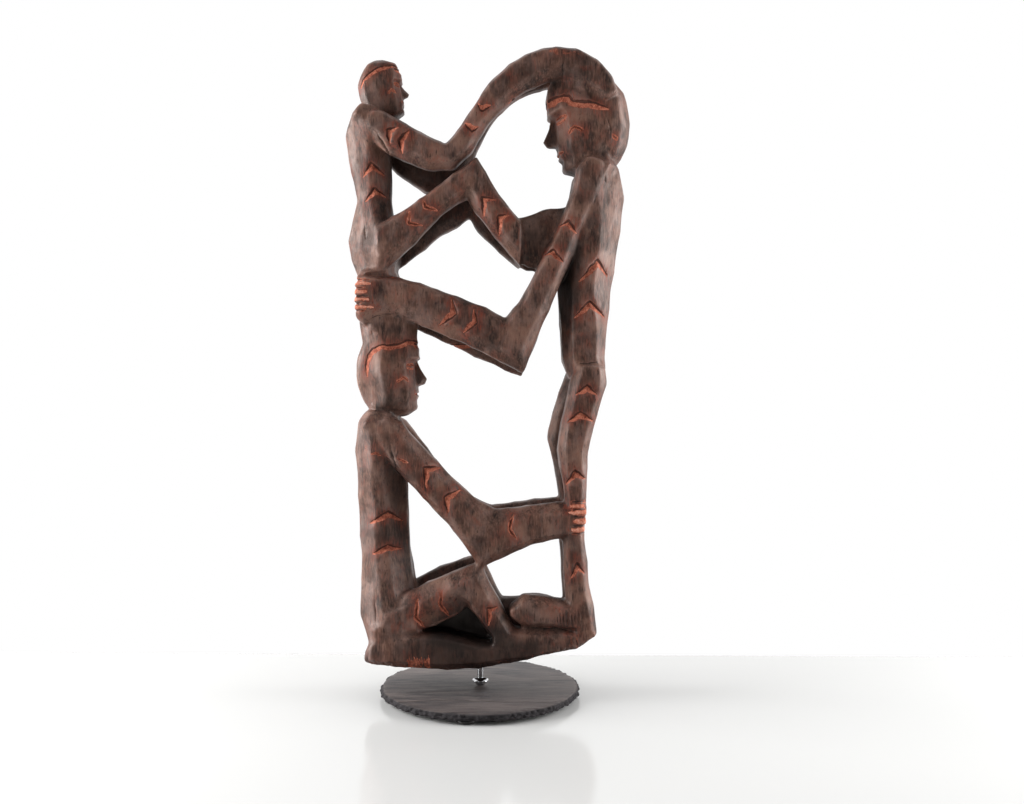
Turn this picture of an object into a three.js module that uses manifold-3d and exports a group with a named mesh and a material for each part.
// An openwork carved group of three figures on a chromed rod, its collar and a round slate with four pads.
// Millimetres, +Z up. The figures look along X and the near side is -Y. While the pieces are made, x is
// measured from the rod and z from the floor. At the end the whole group moves so that its box stands on
// the origin.
import * as THREE from "three";
import { mergeVertices } from "three/addons/utils/BufferGeometryUtils.js";
import Module from "manifold-3d";

const wasm = await Module();
wasm.setup();

// Stand
const clearance = 0.3;
const slateDiameter = 250;
const slateThickness = 8.6;
const slateSides = 36;
const slateChip = 1.6;
const padDiameter = 22;
const padHeight = 4;
const padRingRadius = 108;
const padCount = 4;
const roundSides = 16;
const firstPadAngle = THREE.MathUtils.degToRad(-98);
const rodDiameter = 8;
const rodInCarving = 26;
const collarDiameter = 20;
const collarHeight = 6;
const collarLip = 1.4;

// Carving: the near and far limbs lie in two layers, one each side of the middle plane
const near = -1;
const far = 1;
const layer = 29;
const arm = { depth: 18 };
const leg = { depth: 18.5 };
const edgeShare = 0.4;
const flatShare = 0.55;
const carvingLift = 28;
const shortestEdge = 0.05;
const markWidth = 5.5;
const markDepth = 2.2;
const fingerWidth = 4.5;
const fingerDepth = 2.6;
const cutLead = 2.6;
const cutStray = 0.9;

const padTop = padHeight;
const slateTop = padTop + slateThickness;
const underside = slateTop + carvingLift;

// Solids and meshes

function solidFrom(geometry) {
  const bare = geometry.index ? geometry.toNonIndexed() : geometry.clone();
  for (const name of Object.keys(bare.attributes)) {
    if (name !== "position") bare.deleteAttribute(name);
  }
  const merged = mergeVertices(bare, 1e-3);
  const make = (triVerts) =>
    new wasm.Manifold(
      new wasm.Mesh({ numProp: 3, vertProperties: merged.attributes.position.array, triVerts }),
    );
  const solid = make(new Uint32Array(merged.index.array));
  return solid.volume() > 0 ? solid : make(new Uint32Array(merged.index.array).reverse());
}

function geometryFrom(solid) {
  const { vertProperties, triVerts } = solid.getMesh();
  const geometry = new THREE.BufferGeometry();
  geometry.setAttribute("position", new THREE.BufferAttribute(vertProperties, 3));
  geometry.setIndex(new THREE.BufferAttribute(triVerts, 1));
  return geometry;
}

function joined(solids) {
  return solids.reduce((whole, solid) => whole.add(solid));
}

// The largest body alone: a space shut in between limbs is filled, and a crumb that cuts leave is dropped.
function onePiece(solid) {
  return solid.decompose().sort((a, b) => b.volume() - a.volume())[0];
}

// The same solid without the slivers that a join leaves: corners at the ends of very short edges become one.
function withoutSlivers(solid) {
  const { vertProperties, triVerts } = solid.getMesh();
  const corner = (i) => new THREE.Vector3().fromArray(vertProperties, i * 3);
  const leader = Array.from({ length: vertProperties.length / 3 }, (_, i) => i);
  const lead = (i) => (leader[i] === i ? i : (leader[i] = lead(leader[i])));
  const triangles = [];
  for (let t = 0; t < triVerts.length; t += 3) triangles.push([...triVerts.slice(t, t + 3)]);
  for (const [a, b, c] of triangles) {
    for (const [i, j] of [[a, b], [b, c], [c, a]]) {
      if (corner(i).distanceTo(corner(j)) < shortestEdge) leader[lead(i)] = lead(j);
    }
  }
  const kept = triangles.map((t) => t.map(lead)).filter(([a, b, c]) => a !== b && b !== c && c !== a);
  return new wasm.Manifold(
    new wasm.Mesh({ numProp: 3, vertProperties, triVerts: new Uint32Array(kept.flat()) }),
  );
}

// A closed solid through rings that all have the same number of points, with a fan at each end.
function loft(rings) {
  const count = rings[0].length;
  const positions = [];
  const face = (...corners) => corners.forEach((p) => positions.push(p.x, p.y, p.z));
  for (let r = 0; r + 1 < rings.length; r++) {
    for (let i = 0; i < count; i++) {
      const j = (i + 1) % count;
      face(rings[r][i], rings[r][j], rings[r + 1][j]);
      face(rings[r][i], rings[r + 1][j], rings[r + 1][i]);
    }
  }
  for (const [ring, flip] of [[rings[0], true], [rings.at(-1), false]]) {
    for (let i = 1; i + 1 < count; i++) {
      if (flip) face(ring[0], ring[i + 1], ring[i]);
      else face(ring[0], ring[i], ring[i + 1]);
    }
  }
  const geometry = new THREE.BufferGeometry();
  geometry.setAttribute("position", new THREE.Float32BufferAttribute(positions, 3));
  return solidFrom(geometry);
}

// Hewn wood: eight broad facets round a middle line

// One station is [x, z, width, half depth, shift of the front facet, share that is front facet].
// The last three may be left out, for the usual ones of the limb. The width is measured across the mitre
// where the line bends. first and last turn the ring at an end.
function hewn(stations, middleY, { depth, shift: usualShift = 0, first, last: atLast }) {
  const points = stations.map(([x, z]) => new THREE.Vector2(x, z));
  const heading = (i, j) => points[j].clone().sub(points[i]).normalize();
  const rings = stations.map((station, i) => {
    const [x, z, width, halfDepth = depth, shift = usualShift, flat = flatShare] = station;
    const before = heading(Math.max(i - 1, 0), Math.max(i, 1));
    const last = points.length - 1;
    const after = heading(Math.min(i, last - 1), Math.min(i + 1, last));
    const along = before.add(after).normalize();
    const across = new THREE.Vector2(along.y, -along.x);
    if (i === 0 && first) across.set(...first);
    if (i === last && atLast) across.set(...atLast);
    const half = width / 2;
    const corner = (share, depth) => {
      const aside = half * share;
      return new THREE.Vector3(x + across.x * aside, middleY + depth * halfDepth, z + across.y * aside);
    };
    const low = THREE.MathUtils.clamp(shift - flat, -0.9, 0.9);
    const high = THREE.MathUtils.clamp(shift + flat, -0.9, 0.9);
    return [
      corner(-1, -edgeShare), corner(low, -1), corner(high, -1), corner(1, -edgeShare),
      corner(1, edgeShare), corner(high, 1), corner(low, 1), corner(-1, edgeShare),
    ];
  });
  return loft(rings);
}

// More stations along a bowed limb, on a smooth curve through the given ones.
function bowed(stations, steps) {
  const curve = new THREE.CatmullRomCurve3(stations.map(([x, z, width]) => new THREE.Vector3(x, z, width)));
  return curve.getPoints(steps).map((p) => [p.x, p.y, p.z]);
}

// The far limb sits a little away from the near one at its joints, and the rest follows.
function moved(stations, moves) {
  return stations.map(([x, z, ...rest]) => {
    let [farX, farZ] = [x, z];
    for (const { at: [jointX, jointZ], by: [dx, dz], reach } of moves) {
      const share = Math.max(0, 1 - Math.hypot(x - jointX, z - jointZ) / reach);
      farX += dx * share;
      farZ += dz * share;
    }
    return [farX, farZ, ...rest];
  });
}

function limbPair(stations, usual, farMoves = []) {
  return [
    hewn(stations, near * layer, usual),
    hewn(moved(stations, farMoves), far * layer, usual),
  ];
}

// Heads: one design for all three, in head heights up from the chin

// [level, front, back, half width], with depth and width each taken as 1 across the whole head
const headLevels = [
  [-0.02, 0.28, -0.2, 0.26],
  [0.05, 0.43, -0.3, 0.36],
  [0.13, 0.42, -0.38, 0.41],
  [0.21, 0.45, -0.43, 0.44],
  [0.32, 0.43, -0.48, 0.47],
  [0.52, 0.4, -0.5, 0.48],
  [0.6, 0.46, -0.49, 0.48],
  [0.73, 0.45, -0.42, 0.47],
  [0.88, 0.36, -0.29, 0.4],
  [0.98, 0.14, -0.1, 0.2],
];
const headSides = 10;
const headSquareness = 0.72;

// [level, how far forward, half width] down the ridge of the nose
const noseLevels = [
  [0.57, 0.42, 0.035],
  [0.48, 0.47, 0.05],
  [0.37, 0.575, 0.085],
  [0.31, 0.54, 0.1],
  [0.285, 0.44, 0.08],
];

// A head's own axes: forward, up, and the point under the skull at the level of the chin.
function headFrame({ chinLevel, facing, bow, height, depth, width }) {
  const angle = THREE.MathUtils.degToRad(bow);
  const forward = new THREE.Vector3(facing * Math.cos(angle), 0, -Math.sin(angle));
  const up = new THREE.Vector3(facing * Math.sin(angle), 0, Math.cos(angle));
  const place = (ahead, aside, level) =>
    new THREE.Vector3(chinLevel[0], 0, chinLevel[1])
      .addScaledVector(forward, ahead * depth)
      .addScaledVector(up, level * height)
      .add(new THREE.Vector3(0, aside * width, 0));
  return { forward, up, place };
}

function squared(value) {
  return Math.sign(value) * Math.abs(value) ** headSquareness;
}

function head(shape) {
  const { place } = headFrame(shape);
  const skull = headLevels.map(([level, front, back, half]) => {
    const middle = (front + back) / 2;
    const reach = (front - back) / 2;
    return Array.from({ length: headSides }, (_, i) => {
      const angle = ((i + 0.5) / headSides) * 2 * Math.PI;
      return place(middle + reach * squared(Math.cos(angle)), half * squared(Math.sin(angle)), level);
    });
  });
  const nose = noseLevels.map(([level, ahead, half]) => [
    place(0.2, -half * 1.3, level),
    place(ahead - 0.07, -half, level),
    place(ahead, -half * 0.35, level),
    place(ahead, half * 0.35, level),
    place(ahead - 0.07, half, level),
    place(0.2, half * 1.3, level),
  ]);
  return loft(skull).add(loft(nose));
}

// Cuts that follow the surface

const bothSides = new THREE.MeshBasicMaterial({ side: THREE.DoubleSide });
const surface = new THREE.Mesh(new THREE.BufferGeometry(), bothSides);
const caster = new THREE.Raycaster();
const castLength = 300;

// Where the wood is met on the way inward to a point.
function onSurface({ point, inward }) {
  caster.set(point.clone().addScaledVector(inward, -castLength), inward);
  const hit = caster.intersectObject(surface)[0];
  return hit ? { point: hit.point, inward } : null;
}

// The same line without the points that lie on the straight between their neighbours.
function straightened(path) {
  const kept = [path[0]];
  for (let i = 1; i < path.length - 1; i++) {
    const chord = new THREE.Line3(kept.at(-1).point, path[i + 1].point);
    const nearest = chord.closestPointToPoint(path[i].point, true, new THREE.Vector3());
    if (nearest.distanceTo(path[i].point) > cutStray) kept.push(path[i]);
  }
  return [...kept, path.at(-1)];
}

// A knife cut with a V section along the line, mitred where it turns and thin at both ends.
function knifeCut(line, { width = markWidth, depth = markDepth, ends = 0.35 } = {}) {
  const path = straightened(line.map(onSurface).filter(Boolean));
  const heading = (i) => path[i + 1].point.clone().sub(path[i].point).normalize();
  const rings = path.map(({ point, inward }, i) => {
    const isEnd = i === 0 || i === path.length - 1;
    const before = heading(Math.max(i - 1, 0));
    const after = heading(Math.min(i, path.length - 2));
    const mitre = Math.min(2, Math.sqrt(2 / (1 + before.dot(after))));
    const aside = before.add(after).cross(inward).normalize();
    const share = isEnd ? ends : 1;
    const reach = (width / 2) * share * mitre * (1 + cutLead / (depth * share));
    const top = point.clone().addScaledVector(inward, -cutLead);
    return [
      top.clone().addScaledVector(aside, reach),
      top.clone().addScaledVector(aside, -reach),
      point.clone().addScaledVector(inward, depth * share),
    ];
  });
  return loft(rings);
}

// pointing is the way the tip points, in degrees from +X to +Z.
function chevron([x, z], { pointing, opening, arm }, side) {
  const inward = new THREE.Vector3(0, -side, 0);
  const along = (hand, share) => {
    const angle = THREE.MathUtils.degToRad(pointing + 180 + (hand * opening) / 2);
    const reach = arm * share;
    return { point: new THREE.Vector3(x + Math.cos(angle) * reach, 0, z + Math.sin(angle) * reach), inward };
  };
  return knifeCut([along(1, 1), along(1, 0.5), along(1, 0), along(-1, 0.5), along(-1, 1)]);
}

// A row of chevrons. The plainer far side has them on the torsos alone.
function chevronRow({ tips, farToo = false, ...mark }) {
  return [
    ...tips.map((tip) => chevron(tip, mark, near)),
    ...(farToo ? tips.map((tip) => chevron(tip, mark, far)) : []),
  ];
}

// Cuts on a head, as [degrees round from the front, level]
const hairline = [[-112, 0.55], [-72, 0.75], [0, 0.8], [72, 0.75], [112, 0.55]];
const mouth = [[-28, 0.212], [0, 0.21], [28, 0.212]];
const eyes = [-1, 1].map((side) => [[side * 17, 0.5], [side * 33, 0.505], [side * 50, 0.5]]);

function headCuts(shape) {
  const { forward, up, place } = headFrame(shape);
  const size = shape.height / standing.head.height;
  const aim = ([degrees, level]) => ({
    point: place(0, 0, level),
    inward: forward.clone().applyAxisAngle(up, THREE.MathUtils.degToRad(degrees)).negate(),
  });
  const cut = { width: 2.5 + 3.5 * size, depth: 1.2 + size };
  return [hairline, mouth, ...eyes].map((line) => knifeCut(line.map(aim), cut));
}

// Grooves between fingers, which run round the end of a hand: level cuts about an upright axis.
function fingerGrooves({ axis: [x, y], levels, from, to, steps }) {
  return levels.map((z) => {
    const line = Array.from({ length: steps + 1 }, (_, i) => {
      const angle = THREE.MathUtils.degToRad(THREE.MathUtils.lerp(from, to, i / steps));
      const inward = new THREE.Vector3(-Math.cos(angle), -Math.sin(angle), 0);
      return { point: new THREE.Vector3(x, y, z), inward };
    });
    return knifeCut(line, { width: fingerWidth, depth: fingerDepth });
  });
}

// The seated figure, lower left, facing right

const seated = {
  torso: [
    [-122, 352, 34, 38],
    [-123, 338, 52, 45, 0.1],
    [-124, 305, 60, 44, 0.2, 0.4],
    [-121, 262, 60, 36, 0.25, 0.35],
    [-117, 180, 59, 34, 0.25, 0.4],
    [-114, 140, 65, 40, 0.2, 0.45],
    [-112, 105, 71, 45, 0.1, 0.5],
    [-109, 72, 53, 46],
  ],
  arm: [
    [-119, 341, 22],
    [-112, 330, 39],
    [-100, 311, 43],
    [-71, 280, 43],
    [-41, 249, 43],
    [-22, 231, 45],
    [9, 198, 74],
    [54, 214, 48],
    [79, 218, 46],
    [117, 222, 43],
    [127, 221, 32],
  ],
  farArm: [{ at: [-35, 245], by: [-4, -8], reach: 95 }],
  leg: [
    [-112, 98, 46],
    [-67, 115, 50],
    [-37, 129, 50],
    [-8, 143, 56],
    [8, 116, 33],
    [19, 97, 31],
    [32, 80, 28],
  ],
  farLeg: [{ at: [-50, 122], by: [0, 6], reach: 60 }],
  foot: [
    [16, 80, 24],
    [60, 75, 30],
    [114, 77, 25],
    [139, 86, 10],
  ],
  head: { chinLevel: [-113, 349], facing: 1, bow: 0, height: 116, depth: 82, width: 78 },
};

// The perched figure, upper left, facing right, on the seated one's head

const perched = {
  torso: [
    [-136, 724, 30, 36],
    [-138, 710, 42, 44, 0.1],
    [-141, 690, 50, 42, 0.1, 0.45],
    [-137, 664, 51, 34, 0.15, 0.4],
    [-133, 638, 47, 29, 0.15, 0.4],
    [-131, 612, 42, 28, 0.1, 0.45],
    [-132, 587, 50, 36, 0.1, 0.45],
    [-132, 562, 59, 45],
    [-130, 540, 57, 45],
    [-128, 520, 46, 42],
  ],
  arm: [
    [-134, 707, 24],
    [-126, 701, 39],
    [-100, 682, 41],
    [-68, 668, 40],
    [-42, 659, 33],
    [-22, 675, 31],
    [-10, 694, 26],
    [5, 716, 29],
    [22, 737, 33],
    [43, 755, 38],
    [64, 767, 40],
    [84, 774, 39],
    [103, 774, 38],
    [123, 768, 41],
    [145, 750, 35],
    [157, 732, 23],
  ],
  armSteps: 18,
  farArm: [
    { at: [-55, 661], by: [-4, -20], reach: 75 },
    { at: [40, 750], by: [-6, 10], reach: 125 },
  ],
  leg: [
    [-135, 541, 34],
    [-124, 549, 52],
    [-93, 571, 42],
    [-57, 602, 31],
    [-37, 617, 32],
    [-10, 636, 50],
    [9, 604, 36],
    [49, 555, 58],
  ],
  farLeg: [
    { at: [-25, 612], by: [0, -21], reach: 100 },
    { at: [49, 555], by: [0, 6], reach: 30 },
  ],
  foot: [
    [38, 553, 34, 14],
    [51, 557, 60, 15],
    [84, 563, 74, 15.6],
    [112, 565, 76, 16],
  ],
  footLayer: 17,
  head: { chinLevel: [-119, 716], facing: 1, bow: -6, height: 72, depth: 59, width: 54 },
};

// The standing figure, right, facing left, on the seated one's feet

const standing = {
  torso: [
    [145, 664, 30, 34],
    [147, 650, 46, 44, 0.1],
    [144, 618, 64, 45, 0.25, 0.15],
    [139, 577, 67, 42, 0.1, 0.3],
    [128, 503, 65, 36, 0.1, 0.4],
    [127, 434, 54, 36],
    [127, 417, 52, 38],
    [132, 396, 46, 42],
  ],
  arm: [
    [142, 656, 26],
    [137, 640, 42],
    [129, 612, 37],
    [111, 575, 31],
    [64, 476, 37],
    [41, 432, 70],
    [-8, 457, 50],
    [-75, 484, 48],
    [-107, 493, 46],
    [-131, 492, 54],
    [-145, 488, 62],
    [-151, 488, 44],
  ],
  farArm: [{ at: [-25, 455], by: [-2, -9], reach: 140 }],
  leg: [
    [134, 408, 34],
    [132, 390, 43],
    [118, 335, 39],
    [112, 305, 37],
    [115, 262, 29, 15.5],
    [115, 240, 26, 15],
    [113, 200, 28, 15],
    [117, 140, 30, 15.5],
    [122, 110, 33, 17],
    [127, 80, 31, 18],
  ],
  farLeg: [{ at: [112, 318], by: [-10, 12], reach: 110 }],
  foot: [
    [36, 110, 12, 16],
    [51, 111, 38, 19],
    [80, 109, 40, 19.5],
    [108, 104, 34, 19],
    [132, 95, 24, 17],
  ],
  farFoot: [{ at: [40, 108], by: [-24, -17], reach: 120 }],
  head: { chinLevel: [148, 653], facing: -1, bow: 14, height: 131, depth: 104, width: 86 },
};

// The base that the seated figure and its feet grow from: [x, underside, top, half depth]

const base = [
  [-141, 47, 56, 32],
  [-131, 46, 77, 44],
  [-96, 44, 86, 49],
  [-40, underside, 84, 50],
  [0, 43, 74, 50],
  [48, 51, 70, 49],
  [96, 62, 74, 47],
  [122, 72, 80, 43],
  [138, 84, 92, 34],
];

function baseSolid() {
  const rings = base.map(([x, low, top, half]) => {
    const rim = Math.min(9, (top - low) * 0.35);
    return [
      [-half * 0.8, low], [half * 0.8, low], [half, low + rim], [half, top - rim * 0.6],
      [half * 0.8, top], [-half * 0.8, top], [-half, top - rim * 0.6], [-half, low + rim],
    ].map(([y, z]) => new THREE.Vector3(x, y, z));
  });
  return loft(rings);
}

// Wood left between the near and far limbs

const webs = [
  // Under the seat, between the hands
  { stations: [[-124, 524, 44], [-126, 506, 52], [-125, 474, 56]], depth: 37 },
  // From the seated head up into the hands
  { stations: [[-113, 484, 66], [-113, 462, 72], [-113, 438, 66]], depth: 35 },
  // Over the lap, down into the base
  { stations: [[-70, 90, 52], [-20, 94, 62], [12, 80, 46]], depth: 9 },
];

const chevronRows = [
  { tips: [[-137, 653], [-133, 625]], pointing: 104, opening: 96, arm: 18, farToo: true },
  { tips: [[-111, 690], [-97, 680]], pointing: 150, opening: 108, arm: 16 },
  { tips: [[2, 715], [-14, 692]], pointing: -112, opening: 117, arm: 11 },
  { tips: [[-85, 577], [-66, 599]], pointing: -133, opening: 110, arm: 16 },
  { tips: [[1, 611], [19, 587]], pointing: 138, opening: 85, arm: 20 },
  { tips: [[107, 584], [87, 546]], pointing: 78, opening: 89, arm: 16 },
  { tips: [[-30, 473], [-5, 463]], pointing: -16, opening: 116, arm: 17 },
  { tips: [[142, 535], [134, 485]], pointing: 90, opening: 84, arm: 27, farToo: true },
  { tips: [[128, 383], [119, 351]], pointing: 92, opening: 115, arm: 17 },
  { tips: [[113, 281], [116, 171]], pointing: 102, opening: 78, arm: 16 },
  { tips: [[-112, 230], [-109, 190]], pointing: 89, opening: 127, arm: 21, farToo: true },
  { tips: [[-67, 284], [-40, 250]], pointing: 143, opening: 100, arm: 20 },
  { tips: [[35, 213]], pointing: -170, opening: 130, arm: 17 },
  { tips: [[-77, 111], [-48, 120]], pointing: -170, opening: 142, arm: 18 },
  { tips: [[8, 117]], pointing: 138, opening: 84, arm: 16 },
];

const standingFingers = [509, 499, 490, 480];
const seatedFingers = [237, 225, 213];

function carvingBody() {
  const torsos = [seated, perched, standing].map(({ torso }) => hewn(torso, 0, leg));
  const heads = [seated, perched, standing].map((figure) => head(figure.head));
  const limbs = [
    limbPair(seated.arm, { ...arm, shift: 0.1 }, seated.farArm),
    limbPair(seated.leg, { ...leg, shift: 0.2 }, seated.farLeg),
    limbPair(seated.foot, leg),
    limbPair(bowed(perched.arm, perched.armSteps), { ...arm, shift: -0.18 }, perched.farArm),
    limbPair(perched.leg, { ...leg, shift: -0.15, last: [0, -1] }, perched.farLeg),
    limbPair(standing.arm, { ...arm, shift: 0.18 }, standing.farArm),
    limbPair(standing.leg, leg, standing.farLeg),
    limbPair(standing.foot, leg, standing.farFoot),
  ].flat();
  const perchedFeet = [near, far].map((side) => hewn(perched.foot, side * perched.footLayer, arm));
  const wood = webs.map(({ stations, depth }) => hewn(stations, 0, { depth }));
  return onePiece(joined([baseSolid(), ...torsos, ...heads, ...limbs, ...perchedFeet, ...wood]));
}

function carvingCuts(body) {
  surface.geometry = geometryFrom(body);
  const handCuts = [
    ...fingerGrooves({ axis: [-126, 0], levels: standingFingers, from: -98, to: -262, steps: 16 }),
    ...fingerGrooves({ axis: [113, near * layer], levels: seatedFingers, from: -105, to: 0, steps: 7 }),
    ...fingerGrooves({ axis: [113, far * layer], levels: seatedFingers, from: 105, to: 0, steps: 7 }),
  ];
  const heads = [seated, perched, standing].flatMap((figure) => headCuts(figure.head));
  return joined([...chevronRows.flatMap(chevronRow), ...heads, ...handCuts]);
}

function upright(radius, low, high) {
  const cylinder = new THREE.CylinderGeometry(radius, radius, high - low, roundSides).rotateX(Math.PI / 2);
  return cylinder.translate(0, 0, (low + high) / 2);
}

const rodTop = underside + rodInCarving;
const rodHole = upright(rodDiameter / 2 + clearance, underside - rodInCarving, rodTop + clearance);

// Slate, pads, rod and collar

// The rim is knapped: it leans in to the top, and its radius wanders by small chips.
function slateGeometry() {
  const ring = (radius, z, chip) =>
    Array.from({ length: slateSides }, (_, i) => {
      const angle = (i / slateSides) * 2 * Math.PI;
      const broad = 0.4 * Math.sin(angle * 5 + 1);
      const fine = 0.35 * Math.sin(angle * 13 + 2) + 0.25 * Math.sin(angle * 23);
      const r = radius - chip * (0.5 + 0.5 * (broad + fine));
      return new THREE.Vector3(Math.cos(angle) * r, Math.sin(angle) * r, z);
    });
  const radius = slateDiameter / 2;
  return geometryFrom(loft([
    ring(radius - slateChip, padTop + clearance, slateChip),
    ring(radius, padTop + slateThickness * 0.4, slateChip),
    ring(radius - slateChip * 1.4, slateTop, slateChip * 1.6),
  ]));
}

// A dished ring that fits round the rod: its upper face dips to the middle.
function collarGeometry() {
  const bore = rodDiameter / 2 + clearance;
  const rim = collarDiameter / 2;
  const low = slateTop + clearance;
  const high = slateTop + collarHeight;
  const profile = [
    [bore, low], [rim - collarLip * 2, low], [rim, high - collarLip], [rim - collarLip * 0.6, high],
    [bore, high - collarLip * 1.6], [bore, low],
  ].map(([r, z]) => new THREE.Vector2(r, z));
  return new THREE.LatheGeometry(profile, roundSides).rotateX(Math.PI / 2);
}

const wood = new THREE.MeshStandardMaterial({ color: 0x4a352b, roughness: 0.55, metalness: 0 });
const slate = new THREE.MeshStandardMaterial({ color: 0x3b3a3d, roughness: 0.6, metalness: 0 });
const chrome = new THREE.MeshStandardMaterial({ color: 0xc9ccd0, roughness: 0.12, metalness: 1 });
const rubber = new THREE.MeshStandardMaterial({ color: 0x1d1c1c, roughness: 0.85, metalness: 0 });

const group = new THREE.Group();

function addPiece(name, geometry, material) {
  geometry.computeVertexNormals();
  const piece = new THREE.Mesh(geometry, material);
  piece.name = name;
  group.add(piece);
  return piece;
}

const body = carvingBody();
const carving = withoutSlivers(onePiece(body.subtract(carvingCuts(body)).subtract(solidFrom(rodHole))));
addPiece("figure_group", geometryFrom(carving), wood);
addPiece("mounting_rod", upright(rodDiameter / 2, slateTop + clearance, rodTop), chrome);
addPiece("rod_collar", collarGeometry(), chrome);
addPiece("slate_base", slateGeometry(), slate);
for (let i = 0; i < padCount; i++) {
  const pad = addPiece(`foot_pad_${i + 1}`, upright(padDiameter / 2, 0, padTop), rubber);
  const angle = firstPadAngle + (i / padCount) * 2 * Math.PI;
  pad.position.set(Math.cos(angle) * padRingRadius, Math.sin(angle) * padRingRadius, 0);
}

// The origin goes under the middle of the box that holds the whole group.
const middle = new THREE.Box3().setFromObject(group).getCenter(new THREE.Vector3());
group.position.set(-middle.x, -middle.y, 0);

export default group;
